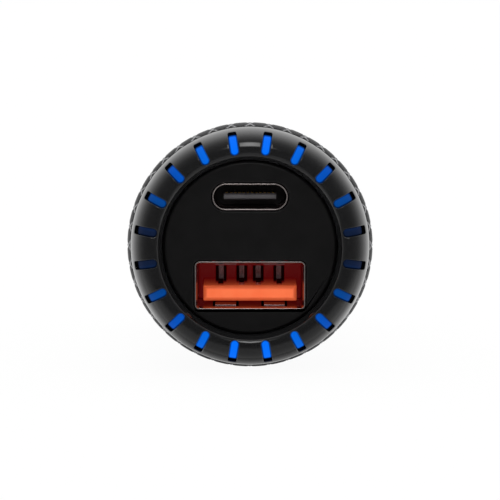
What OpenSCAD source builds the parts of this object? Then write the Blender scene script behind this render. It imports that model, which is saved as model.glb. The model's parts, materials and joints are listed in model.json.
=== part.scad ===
// Car USB charger plug with one USB-C and one USB-A port.
// Every piece is drawn with its axis along Z, the face towards +Z and up along +Y,
// and is then laid down so that the face looks along -Y and up is +Z.
// Zero is on the axis, in the plane of the rear shoulder that meets the car's socket.

/* [Grip] */
// Thickness of the grip sleeve over its diamonds, at the front
grip_wall = 1.75; // [1.5:0.05:3]
// Thickness of the grip sleeve over its diamonds, at the rear
grip_rear_wall = 1.15; // [1:0.05:1.7]
// Length of the grip sleeve
grip_l = 20.3; // [18:0.1:26]
// Depth of the grooves between the diamonds
knurl_d = 0.35; // [0.2:0.05:0.5]
// Diamonds round the grip
knurl_n = 40; // [24:2:44]
// Diamonds along the grip
knurl_rows = 5; // [3:1:5]

/* [Bezel] */
// How far the bezel covers the front of the grip sleeve
bezel_cover = 1.17; // [1.1:0.01:1.3]
// Height of the crest in front of the grip
bezel_h = 3.9; // [3.5:0.1:5]
// Width of the rounded lip from the crest inwards
lip_w = 0.65; // [0.55:0.05:0.9]
// Drop from the crest to the lip
lip_drop = 0.3; // [0.2:0.05:0.5]
// Height of the face plate in front of the grip
face_h = 2.6; // [2.2:0.1:2.9]
// Light slots in the bezel
slot_n = 20; // [8:1:20]
// Width of a light slot
slot_w = 1.05; // [0.8:0.05:1.3]
// Distance from the crest to the inner end of a light slot
slot_inset = 0.4; // [0.2:0.05:0.5]
// Width of the bezel's rim outside a light slot
slot_rim = 0.32; // [0.25:0.01:0.5]
// Depth of the light guide below the bezel's surface
guide_sink = 0.6; // [0.3:0.1:1]

/* [Plug barrel] */
// Radius of the register that centres the plug in the car's socket
register_r = 10.4; // [10.3:0.05:10.6]
// Length of the register
register_l = 8; // [6:0.5:9]
// Step from the register down to the barrel
barrel_step = 0.2; // [0.1:0.05:0.3]
// Length of the barrel from the shoulder to the nose taper
barrel_l = 25.5; // [25:0.5:30]
// Thickness of the barrel's wall
barrel_wall = 1; // [0.8:0.05:1.2]
// Thickness of the shoulder flange
collar_t = 1.2; // [1:0.1:2]

/* [Nose and tip] */
// Length of the nose ring's seat, past the taper
neck_l = 4.3; // [4:0.1:6]
// Radius of the tip contact
tip_r = 3.1; // [2.8:0.1:3.4]
// How far the tip contact stands out of the nose ring
tip_out = 4.7; // [4:0.1:6]
// Travel of the tip contact
tip_travel = 3; // [2:0.25:3.5]
// Diameter of the tip spring's wire
spring_wire = 0.55; // [0.4:0.05:0.6]
// Working turns of the tip spring
spring_turns = 5; // [4:0.5:6]

/* [Side contacts] */
// Width of a side contact's strip
leaf_w = 4.6; // [4:0.1:5]
// Thickness of the strip
leaf_t = 0.4; // [0.3:0.05:0.45]
// How far a side contact stands out past the register, at rest
leaf_out = 1.2; // [0.8:0.1:1.3]

/* [Ports] */
// Height of the USB-A port's centre above the axis
usb_a_y = -4.55; // [-4.6:0.05:-4.3]
// Height of the USB-C port's centre above the axis
usb_c_y = 6; // [5.9:0.1:6.4]
// Thickness of the sheet of both port shells
shell_t = 0.3; // [0.25:0.05:0.35]
// Length of the USB-A shell
usb_a_l = 13.5; // [13:0.1:14]
// Length of the USB-C shell
usb_c_l = 7.4; // [7:0.1:8]
// Least width of the face plate past the corners of the USB-A port
face_margin = 0.46; // [0.4:0.02:0.8]

/* [Boards] */
// Thickness of the main board
board_t = 1.2; // [1:0.1:1.4]
// Thickness of the port board
port_board_t = 0.8; // [0.6:0.1:1]
// Room between the main board's edges and the barrel
board_side_gap = 0.45; // [0.3:0.05:0.6]
// Angle of each lamp from the top or the bottom of the ring
led_turn = 18; // [12:1:30]

/* [Hidden] */

$fn = 96;
// Clearance of a pushed-in piece, of a moving fit and of a piece passing through a hole
push_gap = 0.05;
run_gap = 0.1;
pass_gap = 0.13;

// Ports
usb_a_in = [12.5, 5.12];
usb_a_out = [usb_a_in[0] + 2 * shell_t, usb_a_in[1] + 2 * shell_t];
usb_a_corner = 0.55;
usb_a_depth = 8.9;
tongue_side_gap = 0.7;
tongue_w = usb_a_in[0] - 2 * tongue_side_gap;
tongue_t = 1.84;
tongue_lift = 0.64;
tongue_y = -usb_a_in[1] / 2 + tongue_lift + tongue_t / 2;
tongue_back = 0.7;
pin_x = [-3.5, -1, 1, 3.5];
pin_w = 0.6;
pin_t = 0.3;
leg_z = 2;
pin_slot_w = 1.3;
pin_slot_h = 1.9;
pin_slot_l = 4.5;
finger_w = 2.5;
finger_cut = 0.3;
finger_root = 4.6;
finger_l = 8;
finger_bow = 0.3;
usb_c_in = [8.34, 2.56];
usb_c_out = [usb_c_in[0] + 2 * shell_t, usb_c_in[1] + 2 * shell_t];
c_tongue_w = 6.2;
c_tongue_t = 0.7;
c_tongue_back = 0.8;
c_block_l = 2.6;
c_strip = [0.25, 0.05, 2.8];

// Front rings, from the face plate outwards
face_r = norm([usb_a_out[0] / 2, abs(usb_a_y) + usb_a_out[1] / 2]) + face_margin;
face_bore_r = face_r + push_gap;
inner_wall_t = 0.9;
guide_in_r = face_bore_r + inner_wall_t + push_gap;
guide_w = 1.0;
guide_out_r = guide_in_r + guide_w;
skirt_in_r = guide_out_r + push_gap;
skirt_t = 0.5;
skirt_out_r = skirt_in_r + skirt_t;
sleeve_r = skirt_out_r + push_gap;
grip_r = sleeve_r + grip_wall;
bezel_r = sleeve_r + bezel_cover;
lip_r = face_bore_r + inner_wall_t / 2;
crest_r = lip_r + lip_w;
bezel_a = bezel_r - crest_r;
bezel_pow = 2.3;
slot_in_r = crest_r - slot_inset;
slot_out_r = bezel_r - slot_rim;

// Front stack, measured from the seam between grip and bezel
seam_z = collar_t + grip_l;
face_z = seam_z + face_h;
skirt_l = 2.5;
cup_wall_l = skirt_l + 2;
channel_h = 2.1;
inner_wall_h = 1.1;
face_flange_r = guide_in_r - run_gap;
face_rear_h = 0.6;
led_board_t = 1;
led_h = 0.5;
led_board_h = -2.7;
led_board_in_r = face_r - 0.15;
usb_a_rear = face_z - run_gap - usb_a_l;
usb_c_rear = face_z - run_gap - usb_c_l;

// Plug, measured back from the shoulder
barrel_r = register_r - barrel_step;
cavity_r = barrel_r - barrel_wall;
cup_rear_r = register_r + 0.85;
grip_rear_r = cup_rear_r + grip_rear_wall;
collar_r = grip_rear_r - 0.2;
bulkhead_z = -barrel_l + 1;
taper_l = 3.5;
neck_z = -barrel_l - taper_l;
neck_end_z = neck_z - neck_l;
web_z = neck_end_z - 0.2;
web_t = 1.3;
nose_z = web_z - web_t;
flange_r = tip_r + 1.9;
flange_t = 1.2;
tip_bore_r = flange_r + run_gap;
neck_r = tip_bore_r + 1.5;
nose_r = neck_r + 1.6;
taper_r = nose_r + 0.2;
flange_z = web_z + push_gap;
tip_z = nose_z - tip_out;
spring_r = tip_r + 0.3;
nose_lead = 0.9;
terminal_t = 0.5;
terminal_rim = 1.4;
terminal_tab = [3, 0.4, 4.5];

// Side contacts: each turns on a post near the front of its window
post_r = 0.55;
eye_r = post_r + push_gap + leaf_t;
post_x = cavity_r - eye_r - 0.6;
post_z = -5.5;
window_front = -register_l - 1.5;
leaf_end_z = bulkhead_z + 1.3;
leaf_span = window_front - leaf_end_z;
leaf_rise = leaf_span / 3;
leaf_crest_z = window_front - 0.44 * leaf_span;
leaf_crest_r = register_r + leaf_out;
leaf_x = post_x + eye_r - leaf_t;
leaf_travel = 2.4;
window_rear = leaf_crest_z - leaf_rise - 1.7;
window_gap = 0.3;

// Boards
board_y = usb_a_y + usb_a_out[1] / 2;
board_top = board_y + board_t;
board_front = face_z - 3.4;
board_neck_z = -3.5;
board_tail = bulkhead_z + terminal_t + 0.2;
board_half_w = sqrt(pow(cavity_r, 2) - pow(board_y, 2)) - board_side_gap;
tail_half_w = leaf_x - leaf_travel - 0.6;
port_board_y = usb_c_y - usb_c_out[1] / 2 - port_board_t;
port_board_half_w = 6;
header_w = 2;
header_z = usb_a_rear - header_w - 0.2;
header_half_w = 5.1;
pin_pitch = 2.54;
header_pin = 0.6;
port_board_rear = header_z - 0.3;

// Parts on the boards, as [radius, height] or [width, height, length]
part_gap = 0.65;
out_cap = [3.15, 5.4];
in_cap_room = 1.26;
in_cap = [(cavity_r + board_y - in_cap_room) / 2, 10];
cap_lead_r = 0.3;
core = [4, 4.4];
core_flange_t = 1;
core_waist_r = 2.2;
converter = [4, 1.4, 5];
converter_leg = [1, 0.5, 0.4];
charger_chip = [4, 0.8, 4];
fuse_size = [2.7, 2.2, 5.6];
diode_size = [4.6, 2.2, 2.8];
chip_size = [0.8, 0.6, 1.6];
chip_edge_gap = 2.4;
out_cap_z = port_board_rear - 2.25 - out_cap[0];
core_z = out_cap_z - out_cap[0] - part_gap - core[0];
converter_z = core_z - core[0] - part_gap - converter[2] / 2;
in_cap_front = usb_a_rear - 3.5;

GRIP = "#3c3d40";
GLOSS = "#2b2b2e";
SATIN = "#19181a";
GLOW = "#1a78ff";
STEEL = "#c9c9cc";
ORANGE = "#ff7a3c";
BOARD = "#1d5a36";
BLACK = "#222222";

// Lays a piece down: its own +Z becomes the object's -Y and its own +Y the object's +Z
module laid() { rotate([90, 0, 0]) children(); }

// Rectangle with round corners, centred
module round_rect(w, h, r) {
    square([w - 2 * r, h], center = true);
    square([w, h - 2 * r], center = true);
    for (x = [-1, 1], y = [-1, 1])
        translate([x * (w / 2 - r), y * (h / 2 - r)]) circle(r, $fn = 32);
}

// Ring round the axis between two radii and two heights
module ring(r_out, r_in, z_low, z_high) {
    rotate_extrude()
        translate([r_in, z_low]) square([r_out - r_in, z_high - z_low]);
}

// Shell height over the bezel's shoulder at a radius, a superellipse quarter
function bezel_z(r, drop = 0) =
    (bezel_h - drop) * pow(max(0, 1 - pow(max(0, (r - crest_r) / (bezel_a - drop)), bezel_pow)),
        1 / bezel_pow);

// Points of a superellipse quarter from its foot to its top
function quarter(a, b, p, steps) =
    [for (i = [0:steps]) [a * pow(cos(90 * i / steps), 2 / p), b * pow(sin(90 * i / steps), 2 / p)]];

// Envelope of the grip over its diamonds: a front chamfer, a straight taper and a rear chamfer
function grip_env(k, n) =
    k == 0 ? bezel_r + 0.03
    : k == n ? grip_rear_r - 0.4
    : grip_r + (grip_rear_r - grip_r) * (k - 1) / (n - 2);

// How far a lattice point stands up: 0 in a groove, 1 at the middle of a diamond
function crown(i, k) =
    let (u = (i + k + 1) % 4, v = (i + 3 * k + 3) % 4)
    (u == 2 || v == 2) ? 0 : (u == 0 && v == 0) ? 1 : 0.85;

// Rings of the sleeve's bore, from the rear to the front, as [radius, height]
function bore_rings() = [[cup_rear_r + push_gap, collar_t], [sleeve_r, seam_z - cup_wall_l],
    [sleeve_r, seam_z]];

// Tube of diamonds, four lattice columns and rows to each: one closed strip of rings that runs
// back over the outside and forward through the bore
module knurled_tube() {
    cols = 4 * knurl_n;
    rows = 4 * knurl_rows;
    bore = bore_rings();
    rings = rows + 1 + len(bore);
    points = [for (k = [0:rings - 1], i = [0:cols - 1])
        let (outside = k <= rows,
            depth = (k == 0 || k == rows) ? knurl_d / 2 : knurl_d,
            r = outside ? grip_env(k, rows) - depth * (1 - crown(i, k)) : bore[k - rows - 1][0],
            z = outside ? seam_z - grip_l * k / rows : bore[k - rows - 1][1],
            a = 90 + 360 * i / cols)
        [r * cos(a), r * sin(a), z]];
    skin = [for (k = [0:rings - 1], i = [0:cols - 1])
        let (j = (i + 1) % cols, m = (k + 1) % rings,
            p = k * cols + i, q = k * cols + j, s = m * cols + i, t = m * cols + j,
            along = k < rows && ((i + 3 * k + 3) % 4 == 2
                || ((i + k + 1) % 4 != 1 && crown(i, k) == 0.85)))
        each along ? [[p, s, t], [p, t, q]] : [[p, s, q], [q, s, t]]];
    polyhedron(points, skin, convexity = 4);
}

// Sleeve of diamonds, pushed over the housing and held by the bezel
module grip_sleeve() { color(GRIP) laid() knurled_tube(); }

// Plan of the light slots, narrowed by a clearance for the guide's teeth
module slot_plan(gap) {
    w = slot_w - 2 * gap;
    for (i = [0:slot_n - 1]) rotate(90 + 360 * (i + 0.5) / slot_n) {
        translate([slot_in_r + slot_w / 2, 0]) circle(w / 2, $fn = 24);
        translate([slot_in_r + slot_w / 2, -w / 2])
            square([slot_out_r - gap - slot_in_r - slot_w / 2, w]);
    }
}

// Domed ring with a through slot for each tooth of the light guide
module bezel() {
    dome = [for (p = quarter(bezel_a, bezel_h, bezel_pow, 18)) [crest_r + p[0], p[1]]];
    rim = [for (p = quarter(crest_r - lip_r, lip_drop, 2, 6))
        [crest_r - p[0], bezel_h - lip_drop + p[1]]];
    section = concat(dome, [for (i = [5:-1:0]) rim[i]], [[face_bore_r, face_h],
        [face_bore_r, inner_wall_h], [guide_in_r - push_gap, inner_wall_h],
        [guide_in_r - push_gap, channel_h], [skirt_in_r, channel_h], [skirt_in_r, -skirt_l],
        [skirt_out_r, -skirt_l], [skirt_out_r, 0]]);
    color(GLOSS) laid() translate([0, 0, seam_z]) difference() {
        rotate_extrude() polygon(section);
        translate([0, 0, -skirt_l - 1]) linear_extrude(skirt_l + bezel_h + 2) slot_plan(0);
    }
}

// Clear ring whose teeth stand in the bezel's slots
module light_guide() {
    tooth_out = slot_out_r - 0.45;
    tooth_in = slot_in_r - 0.1;
    top = [for (i = [0:12]) let (r = tooth_out + (tooth_in - tooth_out) * i / 12)
        [r, bezel_z(r, guide_sink)]];
    foot = led_board_h + led_h + push_gap;
    root = inner_wall_h + push_gap;
    color(GLOW) laid() translate([0, 0, seam_z]) {
        ring(guide_out_r, guide_in_r, foot, channel_h - push_gap);
        intersection() {
            rotate_extrude() polygon(concat(top, [[tooth_in, root], [guide_in_r, root],
                [guide_in_r, foot + 1], [skirt_out_r - push_gap, foot + 1],
                [skirt_out_r - push_gap, push_gap], [tooth_out, push_gap]]));
            translate([0, 0, foot]) linear_extrude(bezel_h - foot) slot_plan(0.04);
        }
    }
}

// Cut-outs of the two ports, wider than the shells by a clearance
module port_plan(gap) {
    translate([0, usb_a_y])
        round_rect(usb_a_out[0] + 2 * gap, usb_a_out[1] + 2 * gap, usb_a_corner + gap);
    translate([0, usb_c_y])
        round_rect(usb_c_out[0] + 2 * gap, usb_c_out[1] + 2 * gap, usb_c_out[1] / 2 + gap - 0.001);
}

// Recessed disc with the port openings, and the tube that stands it on the lamp board
module face_plate() {
    edge = 0.3;
    color(SATIN) laid() translate([0, 0, seam_z]) difference() {
        rotate_extrude() polygon([[0, face_h], [face_r - edge, face_h], [face_r, face_h - edge],
            [face_r, inner_wall_h - push_gap], [face_flange_r, inner_wall_h - push_gap],
            [face_flange_r, led_board_h], [face_bore_r, led_board_h],
            [face_bore_r, face_rear_h], [0, face_rear_h]]);
        linear_extrude(2 * bezel_h) port_plan(pass_gap);
    }
}

// Section of the housing and barrel, from the front rim round to the bore
module barrel_section() {
    rim_z = seam_z - skirt_l;
    ledge_z = seam_z + led_board_h - led_board_t;
    polygon([[collar_r, 0], [collar_r, collar_t], [cup_rear_r, collar_t],
        [skirt_out_r, seam_z - cup_wall_l], [skirt_out_r, rim_z], [skirt_in_r - 0.1, rim_z],
        [skirt_in_r - 0.1, ledge_z], [guide_in_r + 0.05, ledge_z],
        [guide_in_r + 0.05, ledge_z - 1.8], [cavity_r, collar_t], [cavity_r, bulkhead_z],
        [tip_bore_r, bulkhead_z], [tip_bore_r, neck_end_z], [neck_r, neck_end_z],
        [neck_r, neck_z], [taper_r, neck_z], [barrel_r, -barrel_l],
        [barrel_r, -register_l - 0.4], [register_r, -register_l], [register_r, 0]]);
}

// Rails that hold both edges of the main board, and the posts of the side contacts
module barrel_inside() {
    rail_h = 1;
    rail_in = board_half_w - 0.7;
    rail_l = 15.5;
    for (x = [-1, 1]) {
        for (y = [board_top + push_gap, board_y - push_gap - rail_h])
            translate([x > 0 ? rail_in : -cavity_r - 0.5, y, board_neck_z])
                cube([cavity_r + 0.5 - rail_in, rail_h, rail_l]);
        translate([x * post_x, cavity_r, post_z]) rotate([90, 0, 0])
            cylinder(r = post_r, h = 2 * cavity_r, $fn = 32);
    }
}

// Housing and plug barrel, moulded in one piece, with two side windows
module plug_barrel() {
    color(BLACK) laid() difference() {
        union() {
            rotate_extrude() barrel_section();
            intersection() {
                barrel_inside();
                translate([0, 0, bulkhead_z]) cylinder(r = cavity_r + 0.5, h = 40);
            }
        }
        for (x = [0, 1]) mirror([x, 0, 0])
            translate([post_x, -leaf_w / 2 - window_gap, window_rear])
                cube([barrel_r, leaf_w + 2 * window_gap, window_front - window_rear]);
    }
}

// Ring that is screwed over the barrel's neck and keeps the tip contact in
module nose_ring() {
    color(STEEL) laid() rotate_extrude() polygon([[neck_r + push_gap, neck_z], [nose_r, neck_z],
        [nose_r, nose_z + 2 * nose_lead], [nose_r - 0.25 * nose_lead, nose_z + nose_lead],
        [nose_r - nose_lead, nose_z + 0.25 * nose_lead], [nose_r - 1.6 * nose_lead, nose_z],
        [tip_r + run_gap, nose_z], [tip_r + run_gap, web_z], [neck_r + push_gap, web_z]]);
}

// Live pin with a flange inside the nose and a stem that guides the spring
module tip_contact() {
    dome_h = 2;
    stem_r = spring_r - spring_wire / 2 - 1.1;
    stem_end = bulkhead_z - tip_travel - 1;
    dome = [for (i = [0:8]) [tip_r * sin(90 * i / 8), tip_z + dome_h * (1 - cos(90 * i / 8))]];
    color(STEEL) laid() rotate_extrude() polygon(concat(dome, [[tip_r, flange_z],
        [flange_r, flange_z], [flange_r, flange_z + flange_t], [stem_r, flange_z + flange_t],
        [stem_r, stem_end], [0, stem_end]]));
}

// Coil spring between the tip contact's flange and the terminal
module tip_spring() {
    sides = 8;
    steps = 16 * spring_turns;
    low = flange_z + flange_t + spring_wire / 2 + 0.03;
    high = bulkhead_z - spring_wire / 2 - 0.03;
    points = [for (i = [0:steps], j = [0:sides - 1])
        let (a = 360 * spring_turns * i / steps, b = 360 * j / sides,
            r = spring_r + spring_wire / 2 * cos(b))
        [r * cos(a), r * sin(a), low + (high - low) * i / steps + spring_wire / 2 * sin(b)]];
    skin = [for (i = [0:steps - 1], j = [0:sides - 1])
        let (p = i * sides + j, q = i * sides + (j + 1) % sides)
        each [[p, q, q + sides], [p, q + sides, p + sides]]];
    caps = [[for (j = [sides - 1:-1:0]) j], [for (j = [0:sides - 1]) steps * sides + j]];
    color(STEEL) laid() polyhedron(points, concat(caps, skin), convexity = 6);
}

// Brass plate on the bulkhead, with a tab soldered under the main board
module tip_terminal() {
    color("gold") laid() union() {
        translate([0, 0, bulkhead_z]) cylinder(r = tip_bore_r + terminal_rim, h = terminal_t);
        translate([-terminal_tab[0] / 2, board_y - terminal_tab[1], bulkhead_z])
            cube(terminal_tab);
    }
}

// Middle line of a side contact from its eye to its free end, as [distance out, height]
function leaf_path() = let (out = leaf_crest_r - leaf_t, n = 12) concat(
    [[leaf_x, post_z]],
    [for (i = [0:n]) let (s = 2 * i / n - 1)
        [leaf_x + (out - leaf_x) * pow(cos(90 * s), 1.5), leaf_crest_z - 1.13 * leaf_rise * s]],
    [[leaf_x, leaf_end_z]]);

// Sprung strip with a rolled eye on a post and a crest that stands out of its window
module ground_contact() {
    path = leaf_path();
    color(STEEL) laid() translate([0, leaf_w / 2, 0]) rotate([90, 0, 0]) linear_extrude(leaf_w) {
        difference() {
            translate([post_x, post_z]) circle(eye_r, $fn = 48);
            translate([post_x, post_z]) circle(post_r + push_gap, $fn = 32);
        }
        polygon(concat(path, [for (i = [len(path) - 1:-1:0]) [path[i][0] + leaf_t, path[i][1]]]));
    }
}

module ground_contact_right() { ground_contact(); }

module ground_contact_left() { mirror([1, 0, 0]) ground_contact(); }

// Pairs of places across the top and the bottom of the USB-A shell
module at_fingers() {
    for (x = [-2.9, 2.9], side = [0, 1]) mirror([0, side, 0]) translate([x, usb_a_in[1] / 2]) children();
}

// Side view of a holding finger: flat, bowed into the shell near its end, and flared out again
function finger_path() = [[0, 0], [shell_t, 0], [shell_t, finger_l - 4], [shell_t - finger_bow,
    finger_l - 1.6], [shell_t - finger_bow / 2, finger_l - finger_cut],
    [-finger_bow / 2, finger_l - finger_cut], [-finger_bow, finger_l - 1.6], [0, finger_l - 4]];

// Folded steel shell with two holding fingers in its top and two in its bottom
module usb_a_shell() {
    leg_room = pin_x[3] + pin_w / 2 + 0.5;
    color(STEEL) laid() translate([0, usb_a_y, usb_a_rear]) {
        difference() {
            linear_extrude(usb_a_l) difference() {
                round_rect(usb_a_out[0], usb_a_out[1], usb_a_corner);
                round_rect(usb_a_in[0], usb_a_in[1], usb_a_corner - shell_t);
            }
            at_fingers() translate([-finger_w / 2 - finger_cut, -shell_t, finger_root])
                cube([finger_w + 2 * finger_cut, 3 * shell_t, finger_l]);
            translate([-leg_room, 0, -1])
                cube([2 * leg_room, usb_a_out[1], finger_root + 1 - 2 * finger_cut]);
        }
        at_fingers() translate([-finger_w / 2, 0, finger_root]) rotate([90, 0, 90])
            linear_extrude(finger_w) polygon(finger_path());
    }
}

// Places of the four USB-A contacts
module at_pins() { for (x = pin_x) translate([x, 0, 0]) children(); }

// Back block and tongue in one moulding, slotted for the contacts
module usb_a_insulator() {
    gap = 0.03;
    groove_back = 3;
    slot_z = leg_z - 0.4;
    wall_z = usb_a_l - usb_a_depth;
    front = usb_a_l - tongue_back;
    low = tongue_y - tongue_t / 2;
    high = tongue_y + tongue_t / 2;
    bevel = 0.35;
    color(ORANGE) laid() translate([0, usb_a_y, usb_a_rear]) difference() {
        union() {
            translate([0, 0, gap]) linear_extrude(wall_z - gap)
                round_rect(usb_a_in[0] - 2 * gap, usb_a_in[1] - 2 * gap, usb_a_corner - shell_t);
            intersection() {
                translate([-tongue_w / 2, 0, 0]) rotate([90, 0, 90]) linear_extrude(tongue_w)
                    polygon([[low, wall_z - 0.5], [high, wall_z - 0.5], [high, front - bevel],
                        [high - bevel, front], [low + bevel, front], [low, front - bevel]]);
                translate([0, high + 1, 0]) rotate([90, 0, 0]) linear_extrude(tongue_t + 2)
                    polygon([[-tongue_w / 2, 0], [tongue_w / 2, 0], [tongue_w / 2, front - bevel],
                        [tongue_w / 2 - bevel, front], [bevel - tongue_w / 2, front],
                        [-tongue_w / 2, front - bevel]]);
            }
        }
        at_pins() {
            translate([-pin_slot_w / 2, high - pin_t - 0.04, slot_z])
                cube([pin_slot_w, pin_slot_h, wall_z - slot_z + pin_slot_l]);
            translate([-pin_w / 2 - 0.04, high - pin_t - 0.04, slot_z])
                cube([pin_w + 0.08, 1, front - groove_back]);
            translate([-pin_slot_w / 2, 0, slot_z]) cube([pin_slot_w, usb_a_in[1], 1.4]);
        }
    }
}

// Four sprung contacts: each lies in the tongue, bows up near its end and rises to the board
module usb_a_contacts() {
    high = tongue_y + tongue_t / 2;
    bow = 0.45;
    top = board_top - usb_a_y + 0.3;
    for (i = [0:3]) let (end = usb_a_l - tongue_back - ((i == 0 || i == 3) ? 2.6 : 3.6))
        color("silver") laid() translate([pin_x[i] - pin_w / 2, usb_a_y, usb_a_rear])
            rotate([90, 0, 90]) linear_extrude(pin_w) polygon([[high - pin_t, leg_z],
                [top, leg_z], [top, leg_z + pin_t], [high, leg_z + pin_t], [high, end - 2.4],
                [high + bow, end - 1.2], [high, end], [high - pin_t, end],
                [high + bow - pin_t, end - 1.2], [high - pin_t, end - 2.4]]);
}

// Drawn stadium-shaped shell
module usb_c_shell() {
    color(STEEL) laid() translate([0, usb_c_y, usb_c_rear]) linear_extrude(usb_c_l) difference() {
        round_rect(usb_c_out[0], usb_c_out[1], usb_c_out[1] / 2 - 0.001);
        round_rect(usb_c_in[0], usb_c_in[1], usb_c_in[1] / 2 - 0.001);
    }
}

// Back block and thin middle tongue
module usb_c_insulator() {
    gap = 0.03;
    front = usb_c_l - c_tongue_back;
    half = c_tongue_t / 2;
    color(BLACK) laid() translate([0, usb_c_y, usb_c_rear]) {
        translate([0, 0, gap]) linear_extrude(c_block_l)
            round_rect(usb_c_in[0] - 2 * gap, usb_c_in[1] - 2 * gap, usb_c_in[1] / 2 - gap - 0.001);
        translate([-c_tongue_w / 2, 0, 0]) rotate([90, 0, 90]) linear_extrude(c_tongue_w)
            polygon([[-half, c_block_l - 0.2], [half, c_block_l - 0.2], [half, front - 0.3],
                [half - 0.15, front], [0.15 - half, front], [-half, front - 0.3]]);
    }
}

// Twelve contact strips on each side of the tongue
module usb_c_contacts() {
    color("gold") laid() translate([0, usb_c_y, usb_c_rear + c_block_l + 0.1])
        for (i = [-5.5:5.5], side = [0, 1]) mirror([0, side, 0])
            translate([2 * c_strip[0] * i - c_strip[0] / 2, c_tongue_t / 2, 0]) cube(c_strip);
}

// Outline of the main board: wide in its rails, narrow between the side contacts
module board_plan() {
    translate([-board_half_w, board_neck_z])
        square([2 * board_half_w, board_front - board_neck_z]);
    translate([-tail_half_w, board_tail]) square([2 * tail_half_w, board_front - board_tail]);
}

// Power board, drilled for the port's contacts and the header
module main_board() {
    color(BOARD) laid() difference() {
        translate([0, board_top, 0]) rotate([90, 0, 0]) linear_extrude(board_t) board_plan();
        at_pins() translate([-pin_w / 2 - run_gap, board_y - 1, usb_a_rear + leg_z - run_gap])
            cube([pin_w + 2 * run_gap, board_t + 2, pin_t + 2 * run_gap]);
        at_header() pin_hole(board_y - 1, board_t + 2, run_gap);
    }
}

// Small board that carries the USB-C port
module port_board() {
    color(BOARD) laid() difference() {
        translate([-port_board_half_w, port_board_y, port_board_rear])
            cube([2 * port_board_half_w, port_board_t, face_z - 2.3 - port_board_rear]);
        at_header() pin_hole(port_board_y - 1, port_board_t + 2, run_gap);
    }
}

// Places of the header's pins
module at_header() {
    for (i = [-1.5:1:1.5]) translate([pin_pitch * i, 0, header_z + header_w / 2]) children();
}

// Square hole for a header pin, with a gap round it
module pin_hole(low, depth, gap) {
    side = header_pin + 2 * gap;
    translate([-side / 2, low, -side / 2]) cube([side, depth, side]);
}

// Plastic bar that holds the port board above the main board
module board_header() {
    color(BLACK) laid() difference() {
        translate([-header_half_w, board_top, header_z])
            cube([2 * header_half_w, port_board_y - board_top, header_w]);
        at_header() pin_hole(board_y, port_board_y - board_y + 1, 0.03);
    }
}

// Square pins soldered into both boards
module header_pins() {
    out = 0.4;
    color("gold") laid() at_header()
        pin_hole(board_y - out, port_board_y + port_board_t - board_y + 2 * out, 0);
}

// Ring board under the light guide
module led_board() {
    color(BOARD) laid() translate([0, 0, seam_z])
        ring(guide_out_r - 0.1, led_board_in_r, led_board_h - led_board_t, led_board_h);
}

// Lamps near the top and the bottom of the ring
module leds() {
    size = [1.6, 0.8, led_h];
    color("aliceblue") laid() translate([0, 0, seam_z + led_board_h])
        for (pole = [90, 270], turn = [-led_turn, led_turn]) rotate(pole + turn)
            translate([(guide_in_r + guide_out_r) / 2, 0, size[2] / 2])
                rotate(90) cube(size, center = true);
}

// Place of the inductor on the main board
module at_inductor() { translate([0, board_top, core_z]) rotate([-90, 0, 0]) children(); }

// Drum core
module inductor_core() {
    high = core[1] - core_flange_t;
    color("#4a4a4c") laid() at_inductor() rotate_extrude() polygon([[0, 0], [core[0], 0],
        [core[0], core_flange_t], [core_waist_r, core_flange_t], [core_waist_r, high],
        [core[0], high], [core[0], core[1]], [0, core[1]]]);
}

// Copper winding round the drum
module inductor_winding() {
    color("#b8733a") laid() at_inductor() ring(core[0] - 0.4, core_waist_r + push_gap,
        core_flange_t + push_gap, core[1] - core_flange_t - push_gap);
}

// Electrolytic capacitor lying under the main board, with its two leads
module input_capacitor() {
    r = in_cap[0];
    color("#34405c") laid() translate([0, board_y - r, 0]) {
        translate([0, 0, in_cap_front - in_cap[1]]) cylinder(r = r, h = in_cap[1]);
        for (x = [-1.25, 1.25]) {
            translate([x, 0, in_cap_front - 0.2]) cylinder(r = cap_lead_r, h = 2, $fn = 16);
            translate([x, -cap_lead_r, in_cap_front + 1.7]) rotate([-90, 0, 0])
                cylinder(r = cap_lead_r, h = r + cap_lead_r, $fn = 16);
        }
    }
}

// Two polymer capacitors standing on the main board
module output_capacitors() {
    color("#b9bcc4") laid() for (x = [-1, 1])
        translate([x * (out_cap[0] + 0.45), board_top, out_cap_z]) rotate([-90, 0, 0])
            cylinder(r = out_cap[0], h = out_cap[1]);
}

// Converter circuit with four legs on each side
module converter_chip() {
    reach = converter[0] / 2 - push_gap * 2;
    color(BLACK) laid() translate([0, board_top, converter_z]) {
        translate([-converter[0] / 2, 0.1, -converter[2] / 2]) cube(converter);
        for (x = [0, 1], i = [-1.5:1:1.5]) mirror([x, 0, 0])
            translate([reach, 0, pin_pitch / 2 * i - converter_leg[2] / 2]) cube(converter_leg);
    }
}

// Flat charging controller behind the USB-C port
module charging_chip() {
    color(BLACK) laid() translate([-charger_chip[0] / 2, port_board_y + port_board_t,
        usb_c_rear - charger_chip[2] - 1.4]) cube(charger_chip);
}

// Fuse under the main board
module fuse() {
    color("ivory") laid() translate([-fuse_size[0] / 2, board_y - fuse_size[1], board_tail + 3.9])
        cube(fuse_size);
}

// Input diode at the tail of the main board
module input_diode() {
    color(BLACK) laid() translate([-diode_size[0] / 2, board_top, board_tail + 1])
        cube(diode_size);
}

// Rows of small chip parts beside the converter and in front of the header
module chip_passives() {
    pitch = 1.5 * chip_size[2];
    color("tan") laid() for (x = [0, 1]) mirror([x, 0, 0]) {
        for (i = [-1.5:1:1.5])
            translate([converter[0] / 2 + converter_leg[0] + 0.9, board_top,
                converter_z + pitch * i - chip_size[2] / 2]) cube(chip_size);
        for (i = [0:2])
            translate([board_half_w - chip_edge_gap, board_top,
                header_z + header_w + 0.5 + pitch * i]) cube(chip_size);
    }
}

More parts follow.
